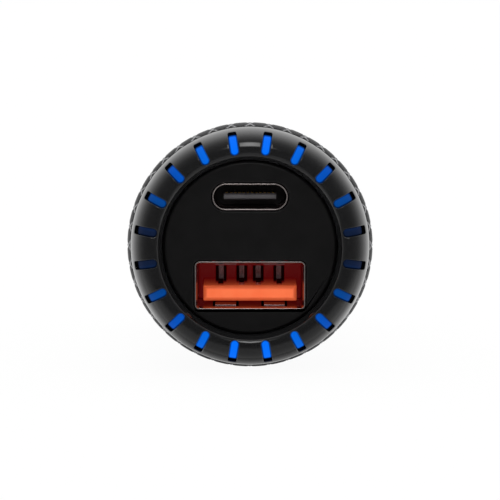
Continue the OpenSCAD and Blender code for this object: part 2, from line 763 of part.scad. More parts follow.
grip_sleeve();
bezel();
light_guide();
face_plate();
plug_barrel();
nose_ring();
tip_contact();
tip_spring();
tip_terminal();
ground_contact_left();
ground_contact_right();
usb_a_shell();
usb_a_insulator();
usb_a_contacts();
usb_c_shell();
usb_c_insulator();
usb_c_contacts();
main_board();
port_board();
board_header();
header_pins();
led_board();
leds();
inductor_core();
inductor_winding();
input_capacitor();
output_capacitors();
converter_chip();
charging_chip();
fuse();
input_diode();
chip_passives();
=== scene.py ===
"""Dresses the car USB charger plug for rendering.

Pieces are worked out in the part's own frame, in millimetres: x to the right, y up and z
forward along the axis, from the rear shoulder towards the face. The object's frame has the
face towards -Y and up towards +Z, in metres, so an own point (x, y, z) lies at (x, -z, y).
"""

import json
import logging
import math
from dataclasses import dataclass, field, replace
from enum import Enum

import bmesh
import bpy
import numpy as np
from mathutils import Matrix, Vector


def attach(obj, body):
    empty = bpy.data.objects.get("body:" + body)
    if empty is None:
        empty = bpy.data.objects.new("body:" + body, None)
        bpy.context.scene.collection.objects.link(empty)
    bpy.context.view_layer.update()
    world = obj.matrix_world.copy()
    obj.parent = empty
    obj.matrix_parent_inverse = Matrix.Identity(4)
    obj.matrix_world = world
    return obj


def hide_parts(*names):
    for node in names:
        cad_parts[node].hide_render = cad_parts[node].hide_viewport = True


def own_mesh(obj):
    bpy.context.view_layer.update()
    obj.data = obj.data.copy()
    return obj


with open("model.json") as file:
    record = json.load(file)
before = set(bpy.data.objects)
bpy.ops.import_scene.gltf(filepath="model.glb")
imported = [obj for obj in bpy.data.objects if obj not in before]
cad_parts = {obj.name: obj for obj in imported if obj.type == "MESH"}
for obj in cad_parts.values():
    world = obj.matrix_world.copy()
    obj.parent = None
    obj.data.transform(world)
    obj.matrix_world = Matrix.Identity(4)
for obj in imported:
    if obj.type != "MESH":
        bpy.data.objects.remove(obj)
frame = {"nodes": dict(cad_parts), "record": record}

LOG = logging.getLogger("charger")

# One millimetre in the object's unit, the metre
MM = 0.001
# Height of the seam between the knurled sleeve and the bezel, mm
SEAM_Z = 21.5
# Slots of the bezel, each with a tooth of the light guide, and the middle angle of each
SLOTS = 20
HALF_TURN = math.pi / SLOTS
SLOT_ANGLES = math.pi / 2 + (np.arange(SLOTS) + 0.5) * 2 * HALF_TURN
# Noise stays within this span nearly everywhere, so roughness is spread over it
NOISE_SPAN = (0.3, 0.7)
# Narrower span of the noise for the colour, so that both colours show
TINT_SPAN = (0.35, 0.65)


def linear(hex_colour: str) -> tuple[float, float, float, float]:
    """Turns an sRGB hex colour into a linear one, by the sRGB curve.

    Args:
        hex_colour: Colour as "#rrggbb".

    Returns:
        Linear red, green, blue and an alpha of 1.
    """
    parts = [int(hex_colour[i : i + 2], 16) / 255 for i in (1, 3, 5)]
    red, green, blue = (
        part / 12.92 if part <= 0.04045 else ((part + 0.055) / 1.055) ** 2.4 for part in parts
    )
    return (red, green, blue, 1.0)


def body_of(node: str) -> str:
    """Returns the body that carries a CAD node."""
    bodies = frame["record"]["behaviour"]["bodies"]
    return next(name for name, nodes in bodies.items() if node in nodes)


def slot_of(node: str) -> str:
    """Returns the record's material slot of a CAD node."""
    subparts = frame["record"]["subparts"]
    return next(subpart["material_slot"] for subpart in subparts if subpart["node"] == node)


def polar(radius: np.ndarray, angle: np.ndarray, height: np.ndarray) -> np.ndarray:
    """Places points by radius, angle from the own x axis and height along the axis.

    Args:
        radius: Distances from the axis, mm.
        angle: Angles in radians, a quarter turn being straight up.
        height: Places along the axis, mm.

    Returns:
        Own-frame points in an array whose last side is 3.
    """
    radius, angle, height = np.broadcast_arrays(radius, angle, height)
    return np.stack([radius * np.cos(angle), radius * np.sin(angle), height], axis=-1)


@dataclass
class Skin:
    """Grids of points that are joined into the mesh of one piece.

    Points nearer to each other than same_mm are made one.
    """

    points: list[np.ndarray] = field(default_factory=list)
    faces: list[np.ndarray] = field(default_factory=list)
    marks: list[np.ndarray] = field(default_factory=list)
    count: int = 0
    same_mm: float = 0.0002

    def sheet(
        self, grid: np.ndarray, wrap: bool = False, mark: np.ndarray | None = None
    ) -> np.ndarray:
        """Adds a grid of own-frame points as quads.

        Args:
            grid: Points as [rows, columns, 3].
            wrap: Whether the last column joins the first.
            mark: Value of each point for the material, 0 when left out.

        Returns:
            The quads' point numbers as [rows, columns, 4].
        """
        rows, cols = grid.shape[:2]
        place = self.count + np.arange(rows * cols).reshape(rows, cols)
        if wrap:
            place = np.concatenate([place, place[:, :1]], axis=1)
        quads = np.stack(
            [place[:-1, :-1], place[:-1, 1:], place[1:, 1:], place[1:, :-1]], axis=-1
        )
        self.points.append(grid.reshape(-1, 3))
        self.marks.append(np.zeros(rows * cols) if mark is None else mark.reshape(-1))
        self.faces.append(quads.reshape(-1, 4))
        self.count += rows * cols
        return quads

    def crease(self, quads: np.ndarray, level: np.ndarray) -> None:
        """Splits the quads of the last sheet along their lower diagonals.

        Args:
            quads: Point numbers from sheet.
            level: Height of every point of that sheet, in order.
        """
        corners = level.reshape(-1)[quads.reshape(-1, 4) - quads.min()]
        first = (corners[:, 0] + corners[:, 2]) <= (corners[:, 1] + corners[:, 3])
        a, b, c, d = quads.reshape(-1, 4).T
        one = np.where(first, [a, b, c], [a, b, d]).T
        two = np.where(first, [a, c, d], [b, c, d]).T
        self.faces[-1] = np.concatenate([one, two])

    def build(self, name: str, sharp_deg: float = 30.0) -> bpy.types.Object:
        """Merges the grids and makes the piece with its faces outwards.

        Args:
            name: Name of the piece.
            sharp_deg: Edges that turn by more than this stay sharp.

        Returns:
            The new object, at the origin.
        """
        own = np.concatenate(self.points)
        laid = np.stack([own[:, 0], -own[:, 2], own[:, 1]], axis=-1) * MM
        mesh = bpy.data.meshes.new(name)
        mesh.from_pydata(laid, [], [face for batch in self.faces for face in batch.tolist()])
        mark = mesh.attributes.new("mark", "FLOAT", "POINT")
        mark.data.foreach_set("value", np.concatenate(self.marks))
        shell = bmesh.new()
        shell.from_mesh(mesh)
        bmesh.ops.remove_doubles(shell, verts=shell.verts, dist=self.same_mm * MM)
        bmesh.ops.recalc_face_normals(shell, faces=shell.faces)
        shell.to_mesh(mesh)
        shell.free()
        mesh.shade_smooth()
        mesh.set_sharp_from_angle(angle=math.radians(sharp_deg))
        piece = bpy.data.objects.new(name, mesh)
        bpy.context.scene.collection.objects.link(piece)
        return piece


def turned(section: np.ndarray, steps: int) -> np.ndarray:
    """Carries a section once round the axis.

    Args:
        section: Points of (radius, height), mm.
        steps: Columns in a turn.

    Returns:
        Grid [points, steps, 3], to be wrapped.
    """
    angle = np.arange(steps) * 2 * math.pi / steps
    return polar(section[:, :1], angle[None, :], section[:, 1:])


def add(
    tree: bpy.types.NodeTree, kind: str, inputs: dict | None = None, **settings: object
) -> bpy.types.Node:
    """Adds a shader node, sets its options and fills or links its inputs.

    Args:
        tree: Node tree of the material.
        kind: Node type after "ShaderNode".
        inputs: Input names or numbers with their values or the sockets that feed them.
        **settings: Options of the node.

    Returns:
        The new node.
    """
    made = tree.nodes.new(f"ShaderNode{kind}")
    for option, value in settings.items():
        setattr(made, option, value)
    for key, value in (inputs or {}).items():
        if isinstance(value, bpy.types.NodeSocket):
            tree.links.new(value, made.inputs[key])
        else:
            made.inputs[key].default_value = value
    return made


class Grain(Enum):
    """Way in which a surface was worked, as the pattern's density along x, y and z.

    A density below 1 draws the grain out along that axis.
    """

    MOULDED = (1.0, 1.0, 1.0)
    DRAWN = (1.0, 0.06, 1.0)
    ROLLED = (0.06, 1.0, 1.0)
    WOUND = (1.0, 1.0, 0.08)


@dataclass(frozen=True)
class Finish:
    """Surface of one real material.

    Colour and shade are the two sRGB colours that its patches vary between, rough the span of
    its roughness, patch_mm the size of a patch and gloss the strength of its reflection.
    The grain has a size of grain_mm and a height of depth_mm. Real grain from a mould, a
    drawing die or rolls is 0.01 to 0.05 mm apart, too fine to show at 8 pixels to the
    millimetre, so it is drawn as coarse as grain_mm says.

    A finish with a painted depth colour turns to it between two heights on the axis,
    painted_depth_mm, by the power painted_depth_bend of the way, and is scaled down to
    painted_hollow_dark over painted_hollow_mm behind the second height: painted shade inside a
    port, and on tinned walls a painted pink reflection of the orange block. A finish with a
    painted glint colour shows it where the piece's mark is 1, as a painted highlight, and is
    scaled by painted_seam_shade where the mark is -1, as painted shade. Glow is the share of its
    own colour that it sends out, a painted glow of a part that is no lamp.
    """

    name: str
    colour: str
    shade: str
    rough: tuple[float, float]
    metallic: float = 0.0
    ior: float = 1.5
    patch_mm: float = 2.0
    grain: Grain = Grain.MOULDED
    grain_mm: float = 0.12
    depth_mm: float = 0.004
    coat: float = 0.0
    coat_rough: float = 0.08
    gloss: float = 0.5
    painted_glint_colour: str = ""
    painted_depth_colour: str = ""
    painted_depth_mm: tuple[float, float] = (0.0, 0.0)
    painted_depth_bend: float = 1.0
    painted_hollow_dark: float = 1.0
    painted_hollow_mm: tuple[float, float] = (0.03, 0.3)
    painted_seam_shade: float = 0.12
    glow: float = 0.0

    def build(self) -> bpy.types.Material:
        """Makes the material.

        Returns:
            A material with colour patches, uneven roughness and a bump of the grain.
        """
        material = bpy.data.materials.new(self.name)
        material.use_nodes = True
        tree = material.node_tree
        tree.nodes.clear()
        place = add(tree, "TexCoord").outputs["Object"]
        worked = add(tree, "Mapping", {"Vector": place, "Scale": self.grain.value}).outputs[0]
        patches = add(
            tree, "TexNoise", {"Vector": place, "Scale": 1 / (self.patch_mm * MM), "Detail": 3.0}
        ).outputs["Fac"]
        grain = add(
            tree, "TexNoise", {"Vector": worked, "Scale": 1 / (self.grain_mm * MM), "Detail": 2.0}
        ).outputs["Fac"]
        colour = self.tint(tree, place, patches)
        low, high = self.rough
        rough = add(
            tree,
            "MapRange",
            {
                "Value": patches,
                "From Min": NOISE_SPAN[0],
                "From Max": NOISE_SPAN[1],
                "To Min": low,
                "To Max": high,
            },
        ).outputs[0]
        bump = add(
            tree, "Bump", {"Height": grain, "Strength": 1.0, "Distance": self.depth_mm * MM}
        ).outputs[0]
        surface = add(
            tree,
            "BsdfPrincipled",
            {"Base Color": colour, "Roughness": rough, "Normal": bump, "Metallic": self.metallic},
        )
        if not self.metallic:
            surface.inputs["IOR"].default_value = self.ior
        surface.inputs["Specular IOR Level"].default_value = self.gloss
        surface.inputs["Coat Weight"].default_value = self.coat
        surface.inputs["Coat Roughness"].default_value = self.coat_rough
        # Painted glow: the finish sends out a share of its own colour, though it is no lamp
        if self.glow:
            tree.links.new(colour, surface.inputs["Emission Color"])
            surface.inputs["Emission Strength"].default_value = self.glow
        self.light(tree, surface, place)
        add(tree, "OutputMaterial", {"Surface": surface.outputs[0]})
        return material

    def tint(
        self,
        tree: bpy.types.NodeTree,
        place: bpy.types.NodeSocket,
        patches: bpy.types.NodeSocket,
    ) -> bpy.types.NodeSocket:
        """Mixes the two colours by the patches and adds painted shade deep in a port, or the
        painted highlights and shade of the knurl.

        Args:
            tree: Node tree of the material.
            place: Object coordinates.
            patches: Slow pattern.

        Returns:
            Colour socket.
        """
        ramp = add(tree, "ValToRGB", {"Fac": patches})
        for stop, position, colour in zip(
            ramp.color_ramp.elements, TINT_SPAN, (self.shade, self.colour)
        ):
            stop.position = position
            stop.color = linear(colour)
        # Painted shade, and painted pink reflection, towards the inside of a port
        if self.painted_depth_colour:
            return self.painted_depth_light(tree, place, ramp.outputs["Color"])
        # Painted highlight along the knurl's grooves and painted shade on the half diamonds at
        # the seam
        if self.painted_glint_colour:
            return self.painted_glints(tree, ramp.outputs["Color"])
        return ramp.outputs["Color"]

    def painted_depth_light(
        self, tree: bpy.types.NodeTree, place: bpy.types.NodeSocket, colour: bpy.types.NodeSocket
    ) -> bpy.types.NodeSocket:
        """Paints shade towards the inside of a port, and a pink reflection on tinned walls, by
        turning the colour to the painted depth colour.

        Args:
            tree: Node tree of the material.
            place: Object coordinates.
            colour: Colour at the front.

        Returns:
            Colour socket.
        """
        front, rear = self.painted_depth_mm
        away = add(tree, "SeparateXYZ", {0: place}).outputs["Y"]
        way = add(
            tree, "MapRange", {"Value": away, "From Min": -front * MM, "From Max": -rear * MM}
        ).outputs[0]
        share = add(tree, "Math", {0: way, 1: self.painted_depth_bend}, operation="POWER").outputs[0]
        faded = add(
            tree, "Mix", {0: share, 6: colour, 7: linear(self.painted_depth_colour)}, data_type="RGBA"
        ).outputs[2]
        behind = add(
            tree,
            "MapRange",
            {
                "Value": away,
                "From Min": (self.painted_hollow_mm[0] - rear) * MM,
                "From Max": (self.painted_hollow_mm[1] - rear) * MM,
                "To Min": 1.0,
                "To Max": self.painted_hollow_dark,
            },
        ).outputs[0]
        return add(tree, "VectorMath", {0: faded, "Scale": behind}, operation="SCALE").outputs[0]

    def painted_glints(
        self, tree: bpy.types.NodeTree, colour: bpy.types.NodeSocket
    ) -> bpy.types.NodeSocket:
        """Paints a highlight in the glint colour where the mark is 1, and shade where it is -1.

        Args:
            tree: Node tree of the material.
            colour: Colour where the mark is 0.

        Returns:
            Colour socket.
        """
        mark = add(tree, "Attribute", attribute_name="mark").outputs["Fac"]
        painted_glint = add(
            tree, "Mix", {0: mark, 6: colour, 7: linear(self.painted_glint_colour)}, data_type="RGBA"
        ).outputs[2]
        shade = add(
            tree,
            "MapRange",
            {"Value": mark, "From Min": -1.0, "From Max": 0.0, "To Min": self.painted_seam_shade},
        ).outputs[0]
        return add(tree, "VectorMath", {0: painted_glint, "Scale": shade}, operation="SCALE").outputs[0]

    def light(
        self, tree: bpy.types.NodeTree, surface: bpy.types.Node, place: bpy.types.NodeSocket
    ) -> None:
        """Adds no light of its own; lit finishes override this."""


@dataclass(frozen=True)
class LitFinish(Finish):
    """Clear moulding lit from behind, brightest near the lamps at the top and the bottom.

    The ramp gives the colour of the glow by the closeness to a lamp. Strength is that of the
    glow where the piece's mark is 1, and dim where it is 0.
    """

    strength: float = 1.0
    dim: float = 0.08
    ramp: tuple[tuple[float, str], ...] = (
        (0.16, "#0b172c"),
        (0.45, "#00408a"),
        (0.7, "#004db4"),
        (0.89, "#0064dc"),
        (0.98, "#006ffc"),
    )

    def light(
        self, tree: bpy.types.NodeTree, surface: bpy.types.Node, place: bpy.types.NodeSocket
    ) -> None:
        """Makes the glow follow the angle from the lamps.

        The height over the radius is 1 at the top, -1 at the bottom and 0 at the sides; its
        size drives both the colour and the strength of the glow.

        Args:
            tree: Node tree of the material.
            surface: Shader to light.
            place: Object coordinates.
        """
        flat = add(
            tree, "VectorMath", {0: place, 1: (1.0, 0.0, 1.0)}, operation="MULTIPLY"
        ).outputs[0]
        unit = add(tree, "VectorMath", {0: flat}, operation="NORMALIZE").outputs[0]
        split = add(tree, "SeparateXYZ", {0: unit})
        size = add(tree, "Math", {0: split.outputs["Z"]}, operation="ABSOLUTE").outputs[0]
        ramp = add(tree, "ValToRGB", {"Fac": size})
        stops = ramp.color_ramp.elements
        ends = (self.ramp[0], self.ramp[-1])
        for stop, (position, colour) in zip(stops, ends):
            stop.position = position
            stop.color = linear(colour)
        for position, colour in self.ramp[1:-1]:
            stops.new(position).color = linear(colour)
        mark = add(tree, "Attribute", attribute_name="mark").outputs["Fac"]
        lit = add(
            tree, "MapRange", {"Value": mark, "To Min": self.dim, "To Max": self.strength}
        ).outputs[0]
        tree.links.new(ramp.outputs["Color"], surface.inputs["Emission Color"])
        tree.links.new(lit, surface.inputs["Emission Strength"])


# Aluminium, turned, knurled and anodised black: dull dye on the diamonds, with a paler grey
# painted along the grooves as a highlight and painted shade on the half diamonds at the seam
ANODISED = Finish(
    "anodised_aluminium",
    "#2e2e30",
    "#282829",
    (0.42, 0.5),
    grain_mm=0.2,
    gloss=0.3,
    painted_glint_colour="#b4b4b6",
)
# ABS from a polished mould: mirror-like black that shows the studio in its dome
POLISHED = Finish(
    "polished_abs", "#1c1c1d", "#1a1a1b", (0.04, 0.09), grain_mm=0.6, depth_mm=0.0006
)
# ABS from a spark-eroded mould: even, deep black with a faint sheen
SATIN = Finish(
    "satin_abs",
    "#100f10",
    "#0e0d0e",
    (0.34, 0.42),
    grain_mm=0.1,
    depth_mm=0.003,
    gloss=0.28,
)
# ABS from a plain mould: soft dark grey, broad dull highlights
BARREL = Finish("moulded_abs", "#1d1d20", "#19191c", (0.36, 0.46), grain_mm=0.12, depth_mm=0.006)
# Acrylic, moulded clear: nearly black until lit, then an even blue without highlights
LIT = LitFinish("lit_acrylic", "#031030", "#020c28", (0.45, 0.55), ior=1.49, gloss=0.08)
# Brass, turned and nickel plated: bright and slightly warm, with fine marks along the axis
NICKEL = Finish(
    "nickel_plate", "#d3d0ca", "#c6c2bb", (0.12, 0.22), metallic=1.0, grain=Grain.DRAWN
)
# Stainless spring strip and wire, rolled hard: cool grey, a little duller than the nickel
SPRING = Finish(
    "spring_steel", "#b9b9bb", "#a9a9ac", (0.2, 0.32), metallic=1.0, grain=Grain.DRAWN
)
# Steel sheet, tinned and folded: bright, with a painted pink reflection of the orange block and
# painted shade on the walls inside the port
TINNED = Finish(
    "tinned_steel",
    "#dcd0cd",
    "#cec4c1",
    (0.16, 0.24),
    metallic=1.0,
    grain=Grain.DRAWN,
    depth_mm=0.0012,
    painted_depth_colour="#b69c9e",
    painted_depth_mm=(23.95, 23.4),
)
# Copper alloy, stamped and flashed with gold: small warm glints
GOLD = Finish("gold_flash", "#ae8c48", "#9e7a3a", (0.1, 0.18), metallic=1.0, depth_mm=0.001)
# Brass sheet, rolled: warm yellow with long faint marks
BRASS = Finish(
    "brass_sheet", "#c9a24c", "#b98f3c", (0.24, 0.36), metallic=1.0, grain=Grain.ROLLED
)
# PBT, moulded orange: a painted glow makes it brighter in front than the light on it, and painted
# shade turns it dark red deep in the port and near black behind that
PBT = Finish(
    "orange_pbt",
    "#ff7440",
    "#fb6c38",
    (0.4, 0.5),
    patch_mm=1.5,
    painted_depth_colour="#700a0c",
    painted_depth_mm=(23.3, 15.1),
    painted_depth_bend=0.25,
    painted_hollow_dark=0.04,
    glow=0.38,
)
# Nylon, moulded: dull dark grey at the tongue's front edge, and painted shade that turns it black
# behind it
NYLON = Finish(
    "black_nylon",
    "#5a585a",
    "#504e50",
    (0.42, 0.52),
    painted_depth_colour="#0c0c0d",
    painted_depth_mm=(23.0, 22.0),
)
# Glass-fibre board under solder mask: smooth green with a clear gloss
BOARD = Finish("solder_mask", "#1c5f38", "#14502d", (0.28, 0.38), patch_mm=1.1, coat=0.3)
# Ferrite, pressed and sintered: rough charcoal grey
FERRITE = Finish("ferrite", "#37383c", "#2c2d30", (0.55, 0.7), patch_mm=0.5, depth_mm=0.01)
# Copper wire under clear enamel, wound: reddish, in glossy turns
WIRE = Finish(
    "enamelled_copper", "#b5602f", "#93481f", (0.2, 0.3), metallic=0.8, grain=Grain.WOUND
)
# Aluminium, drawn into a can: pale grey with marks along the can
CAN = Finish(
    "drawn_aluminium", "#c4c7cd", "#b5b8bf", (0.22, 0.32), metallic=1.0, grain=Grain.DRAWN
)
# PVC sleeve, shrunk on: smooth dark blue
SLEEVE = Finish("shrunk_pvc", "#1c2f5c", "#162650", (0.25, 0.35), patch_mm=3.0)
# Epoxy, transfer moulded round the chips: flat near-black
EPOXY = Finish("moulded_epoxy", "#232325", "#1b1b1d", (0.5, 0.62), depth_mm=0.006)
# Ceramic, fired: matt tan of small chip parts
CERAMIC = Finish("fired_ceramic", "#c2a982", "#b39a72", (0.35, 0.5), patch_mm=0.6)
# Epoxy, cast clear round the lamps: pale and glassy
LAMP = Finish("clear_epoxy", "#d9e2f2", "#c9d4ea", (0.1, 0.2))

FINISH_OF_SLOT = {
    "grip": ANODISED,
    "bezel": POLISHED,
    "guide": LIT,
    "face": SATIN,
    "barrel": BARREL,
    "nickel": NICKEL,
    "spring_steel": SPRING,
    "port_steel": TINNED,
    "contact_gold": GOLD,
    "brass": BRASS,
    "orange": PBT,
    "port_black": NYLON,
    "board": BOARD,
    "ferrite": FERRITE,
    "copper": WIRE,
    "can": CAN,
    "sleeve_blue": SLEEVE,
    "chip": EPOXY,
    "ceramic": CERAMIC,
    "lamp": LAMP,
}


@dataclass
class Wardrobe:
    """Materials by slot, each made once."""

    made: dict[str, bpy.types.Material] = field(default_factory=dict)

    def of(self, slot: str) -> bpy.types.Material:
        """Returns the material of a slot, making it when it is first asked for."""
        if slot not in self.made:
            self.made[slot] = FINISH_OF_SLOT[slot].build()
        return self.made[slot]

    def dress(self, piece: bpy.types.Object, node: str) -> None:
        """Puts a piece in a node's place, with that node's body, slot and finish.

        Args:
            piece: New piece that stands for the node.
            node: CAD node that it replaces.
        """
        slot = slot_of(node)
        piece.data.materials.clear()
        piece.data.materials.append(self.of(slot))
        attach(piece, body_of(node))
        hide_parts(node)


@dataclass
class GripSleeve:
    """Diamond-knurled aluminium sleeve.

    Radii are those of the diamonds' flats at the front, at the rear and on both chamfered
    rims. Limit is half the width of the CAD's box, which the sleeve stays inside. Groove is
    the half width of a V groove in steps of the lattice, of which a diamond has four, and fine
    the number of points in a step. First_row is the length of the first step. Shallow is the
    share of the depth that the grooves have at the seam, up to the first of shallow_rows.
    A painted highlight covers glint_share of a groove's width, and over glint_rows it falls to
    glint_behind. The half diamonds at the seam get painted shade from seam_shade_near steps away
    from their grooves on.
    """

    front_r: float = 14.74
    limit: float = 14.654
    rear_r: float = 12.4
    rim_r: float = 14.28
    rear_rim_r: float = 12.0
    length: float = 20.3
    depth: float = 0.28
    shallow: float = 0.25
    shallow_rows: tuple[float, float] = (1.2, 4.0)
    groove: float = 0.42
    chamfers: tuple[float, float] = (0.75, 0.6)
    chamfer_bend: float = 1.6
    first_row: float = 0.34
    turns: int = 40
    rows: int = 5
    bore: tuple[tuple[float, float], ...] = ((11.3, 1.2), (12.95, 17.0), (12.95, 21.5))
    fine: int = 5
    glint_share: float = 0.75
    glint_rows: tuple[float, float] = (1.0, 1.3)
    glint_behind: float = 0.4
    seam_shade_near: tuple[float, float] = (0.25, 0.45)

    def build(self) -> bpy.types.Object:
        """Makes the sleeve as one closed tube of flat diamonds between narrow grooves.

        The lattice has four steps to a diamond both ways, each split finely, so that both
        families of grooves run through its points. A groove is a V that is cut along every
        line where column plus row, or column minus row, is one apart from a multiple of four.
        The grooves are shallower in the first steps, next to the bezel.

        Returns:
            The sleeve.
        """
        last = 4 * self.rows
        row = np.linspace(0, last, last * self.fine + 1)[:, None]
        col = (np.arange(4 * self.turns * self.fine) / self.fine)[None, :]
        back = np.interp(row, [0, 1, last], [0, self.first_row, self.length])
        near = np.minimum(
            np.abs((col + row + 1) % 4 - 2),
            np.abs((col - row + 3) % 4 - 2),
        )
        rise = np.clip(near / self.groove, 0, 1)
        share = np.interp(row, [0, *self.shallow_rows], [self.shallow, self.shallow, 1.0])
        radius = self.envelope(back) - self.depth * share * (1 - rise)
        angle = math.pi / 2 + col * 2 * math.pi / (4 * self.turns)
        square = np.maximum(np.abs(np.cos(angle)), np.abs(np.sin(angle)))
        radius = np.minimum(radius, self.limit / square)
        outside = polar(radius, angle, SEAM_Z - back)
        bore = np.array(self.bore)
        inside = polar(bore[:, :1], angle, bore[:, 1:])
        skin = Skin()
        quads = skin.sheet(outside, wrap=True, mark=self.painted_glint_marks(row, col, near))
        skin.crease(quads, rise + 0 * radius)
        skin.sheet(np.concatenate([outside[-1:], inside, outside[:1]]), wrap=True)
        return skin.build("grip_sleeve_knurled", sharp_deg=50)

    def envelope(self, back: np.ndarray) -> np.ndarray:
        """Gives the radius of the diamonds' flats: a cone with a curved chamfer at each end.

        Args:
            back: Distances behind the seam, mm.

        Returns:
            Radii, mm.
        """
        radius = self.front_r + (self.rear_r - self.front_r) * back / self.length
        for place, drop, wide in (
            (back, self.front_r - self.rim_r, self.chamfers[0]),
            (self.length - back, self.rear_r - self.rear_rim_r, self.chamfers[1]),
        ):
            radius = radius - drop * (1 - np.clip(place / wide, 0, 1)) ** self.chamfer_bend
        return radius

    def painted_glint_marks(self, row: np.ndarray, col: np.ndarray, near: np.ndarray) -> np.ndarray:
        """Marks the grooves for a painted highlight, and the half diamonds at the seam for
        painted shade.

        Args:
            row: Steps behind the seam.
            col: Steps round the sleeve.
            near: Steps to the nearest groove's middle.

        Returns:
            Marks from 1, full painted highlight, to -1, full painted shade.
        """
        # Painted highlight along the grooves, fading behind the first rows
        painted_glint = np.clip(1 - near / (self.glint_share * self.groove), 0, 1)
        painted_glint = painted_glint * np.interp(row, self.glint_rows, [1, self.glint_behind])
        # Painted shade on the half diamonds at the seam
        seam = np.abs((col + 2) % 4 - 2) < 1 - row
        return painted_glint - seam * np.interp(near, self.seam_shade_near, [0, 1])


@dataclass
class Section:
    """Curve of (radius, height) points that runs inwards, with places along its length."""

    points: np.ndarray

    def arc(self) -> np.ndarray:
        """Returns the length of the curve up to each point."""
        step = np.hypot(*np.diff(self.points, axis=0).T)
        return np.concatenate([[0], np.cumsum(step)])

    def at(self, place: np.ndarray) -> tuple[np.ndarray, np.ndarray]:
        """Returns the radius and the height at places along the curve."""
        arc = self.arc()
        return tuple(np.interp(place, arc, values) for values in self.points.T)

    def place_of(self, radius: np.ndarray) -> np.ndarray:
        """Returns the place along the curve where it has a radius."""
        return np.interp(radius, self.points[::-1, 0], self.arc()[::-1])

    def height_of(self, radius: np.ndarray) -> np.ndarray:
        """Returns the height where the curve has a radius."""
        return np.interp(radius, self.points[::-1, 0], self.points[::-1, 1])


